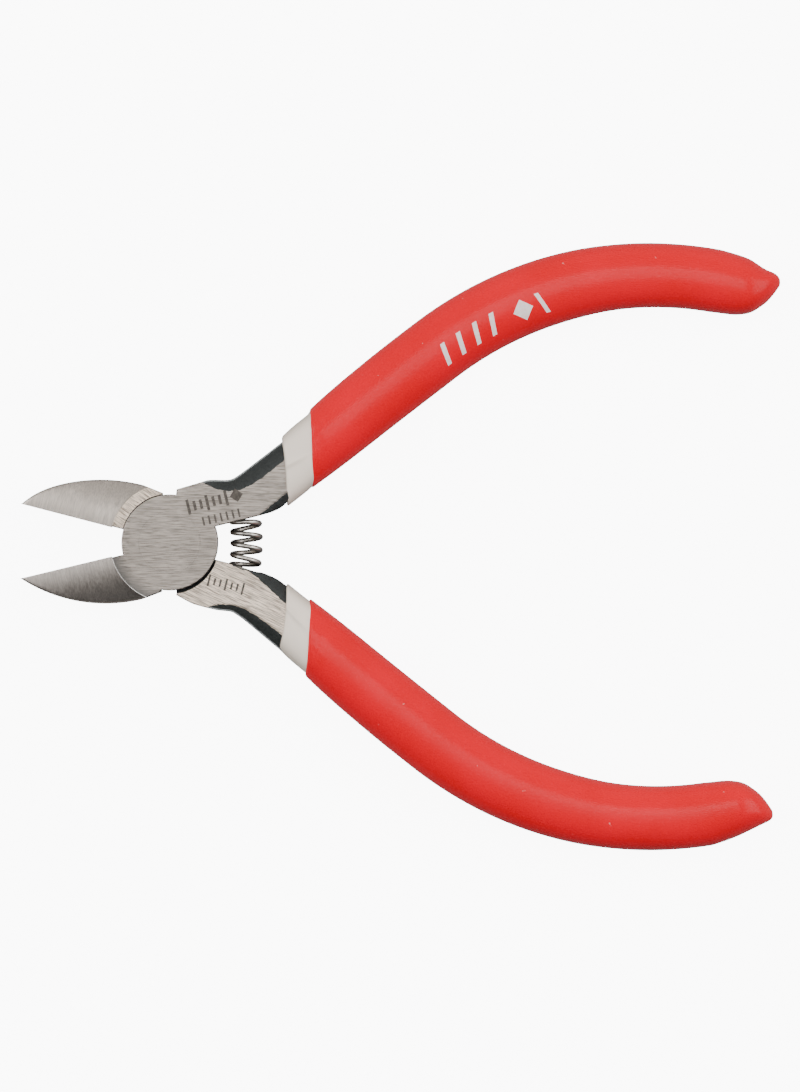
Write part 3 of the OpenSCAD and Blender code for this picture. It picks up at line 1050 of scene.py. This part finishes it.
def diamond(x, y, r):
    """Diamond about a place."""
    return np.array([(x - r, y), (x, y - r), (x + r, y), (x, y + r)])


def on_grip(points, height):
    """Marks drawn along and across the front grip, lifted onto its face."""
    s, v = points.T
    outer, inner = RED[FRONT].widths(s)
    x, y = on_lever(s, v)
    return np.column_stack([x, y, RED[FRONT].height(s, v, outer, inner) + height])


def on_front_steel(points, height):
    """Marks drawn on the front lever's ground face."""
    return np.column_stack([points, np.full(len(points), half_t + height * ETCHED)])


def on_rear_steel(points, height):
    """Marks drawn on the rear lever's face, which is the blank's other side."""
    return on_front_steel(points, height) * (1, 1, -1)


PRINT_OFFSET = -1.15
printed = row(4, 41.3, PRINT_OFFSET, pitch=2.35, width=0.62, tall=2.7, lean=0.4)
printed += [diamond(52.6, PRINT_OFFSET, 1.35), bar(55.2, PRINT_OFFSET, 0.55, 2.7, -0.4)]
marks("grip_print", printed, on_grip, print_finish, FRONT)
etched = row(7, 3.3, 3.7, pitch=0.8, width=0.36, tall=1.9, short=1.2) + [diamond(9.4, 3.75, 0.85)]
etched += row(7, 4.7, 1.55, pitch=0.75, width=0.24, tall=1.1)
marks("front_etching", etched, on_front_steel, etch_finish, FRONT)
etched = [mark * (1, -1) for mark in row(7, 5.9, -3.3, pitch=0.72, width=0.25, tall=1.5, short=0.9)]
marks("rear_etching", etched, on_rear_steel, etch_finish, REAR)

# ---------- return spring ----------

# Length and turns of the coil, where its middle is and the radius that its axis is bent to
COIL_LENGTH, COIL_TURNS = 8.2, 6.5
COIL_X, COIL_BEND_R = 9.5, 20.6
# Gap between the closed turns at its ends, and where along it the wire starts, in turns
CLOSED_GAP = 0.05
COIL_START = -1.742
# Distance from its middle at which the turns start to square up to the seats, and over what length
SEATED_FROM, SEATED_OVER = 2.2, 1.2
COIL_STEPS, WIRE_SIDES = 56, 18


def spring_mesh():
    """The coil at rest, in millimetres about the pivot, its ends in the two seats."""
    coil_r = (coil_d - wire_d) / 2
    closed_pitch = wire_d + CLOSED_GAP
    open_pitch = (COIL_LENGTH - 2 * closed_pitch) / (COIL_TURNS - 2)
    t = np.linspace(0, COIL_TURNS, int(COIL_TURNS * COIL_STEPS) + 1)
    u = (np.minimum(t, 1) * closed_pitch + np.clip(t - 1, 0, COIL_TURNS - 2) * open_pitch
         + np.maximum(t - COIL_TURNS + 1, 0) * closed_pitch - COIL_LENGTH / 2)
    turn = u / COIL_BEND_R
    seated = np.clip((np.abs(u) - SEATED_FROM) / SEATED_OVER, 0, 1)
    tilt = turn + np.sign(u) * seated * (math.radians(open_half) - np.abs(turn))
    phase = 2 * math.pi * (t + COIL_START)
    radial = np.column_stack([np.cos(phase) * np.cos(tilt), np.cos(phase) * np.sin(tilt),
                              np.sin(phase)])
    axis = np.column_stack([COIL_X + COIL_BEND_R * (np.cos(turn) - 1), COIL_BEND_R * np.sin(turn),
                            np.zeros_like(turn)])
    centre = axis + coil_r * radial
    side = np.cross(np.gradient(centre, axis=0), radial)
    side /= np.linalg.norm(side, axis=1)[:, None]
    angles = np.arange(WIRE_SIDES) * 2 * math.pi / WIRE_SIDES
    across, over = np.cos(angles)[:, None], np.sin(angles)[:, None]
    rings = [c + wire_d / 2 * (across * r + over * s) for c, r, s in zip(centre, radial, side)]
    return tube("coil", rings, centre[-1])


spring = object_of("coil_spring", spring_mesh())
spring.data.transform(Matrix.Scale(MM, 4) @ Matrix.Translation((0, 0, mid_z)))
spring.data.materials.append(wire_finish)
smooth(spring, 60)
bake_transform(spring)
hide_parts("return_spring")

# ---------- studio ----------

low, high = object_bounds()
middle = (low + high) / 2

# Half side and thickness of the floor, and how strongly it glows where the camera sees it
FLOOR_HALF, FLOOR_THICK = 1, 0.01
FLOOR_GLOW = 9.0
corners = [(x * FLOOR_HALF, y * FLOOR_HALF) for x, y in ((-1, -1), (1, -1), (1, 1), (-1, 1))]
floor = object_of("floor", prism(corners, -FLOOR_THICK, 0))
floor.data.transform(Matrix.Translation((middle.x, middle.y, low.z)))
paper = nodes_of("paper")
fibres = paper.noise(paper.coordinates(), scale=900, detail=3)
seen = paper.put("LightPath").outputs["Is Camera Ray"]
shade = paper.mix(fibres, (0.86, 0.86, 0.86), (0.9, 0.9, 0.9))
floor.data.materials.append(paper.set(
    Base_Color=paper.mix(seen, (0.3, 0.3, 0.3), shade), Roughness=0.9,
    Emission_Color=(1, 1, 1, 1), Emission_Strength=paper.maths("MULTIPLY", seen, FLOOR_GLOW)))


def soft_light(name, at, size, power):
    """A square soft box that faces the object."""
    data = bpy.data.lights.new(name, "AREA")
    data.shape = "SQUARE"
    data.size = size
    data.energy = power
    obj = object_of(name, data)
    obj.location = at
    obj.rotation_euler = (middle - Vector(at)).to_track_quat("-Z", "Y").to_euler()


soft_light("overhead", (0.03, 0.2, 1.35), 0.45, 4.2)
soft_light("left", (-0.62, 0.1, 0.5), 0.6, 5.6)
soft_light("right", (0.68, 0.1, 0.5), 0.6, 5.6)

# A tent of white cloth, brighter at the back and open towards -Y
world = bpy.data.worlds.new("studio")
bpy.context.scene.world = world
tent = Nodes(world)
lean = math.radians(60)
upwards = tent.put("TexCoord").outputs["Generated"]
towards = tent.put("VectorMath", operation="DOT_PRODUCT",
                   inputs={0: upwards, 1: (0, math.sin(lean), math.cos(lean))}).outputs["Value"]
cloth = tent.ramp(towards, 0.1, 0.9, kind="SMOOTHSTEP")
tent.set(Color=tent.mix(cloth, (0.06, 0.06, 0.06), (0.84, 0.82, 0.79)), Strength=1.0)

# ---------- camera: straight down on the flush side ----------

view_height = 0.1353
camera_distance = 1.2
view_centre = Vector((0.0285, -0.00019, mid_z * MM))
view_roll = math.radians(0.5)
camera_data = bpy.data.cameras.new("camera")
camera_data.sensor_width = 36
camera_data.lens = camera_data.sensor_width * camera_distance / view_height
camera_data.clip_start, camera_data.clip_end = 0.1, 10
camera = object_of("camera", camera_data)
camera.location = view_centre + Vector((0, 0, camera_distance))
camera.rotation_euler = (0, 0, view_roll)
bpy.context.scene.camera = camera
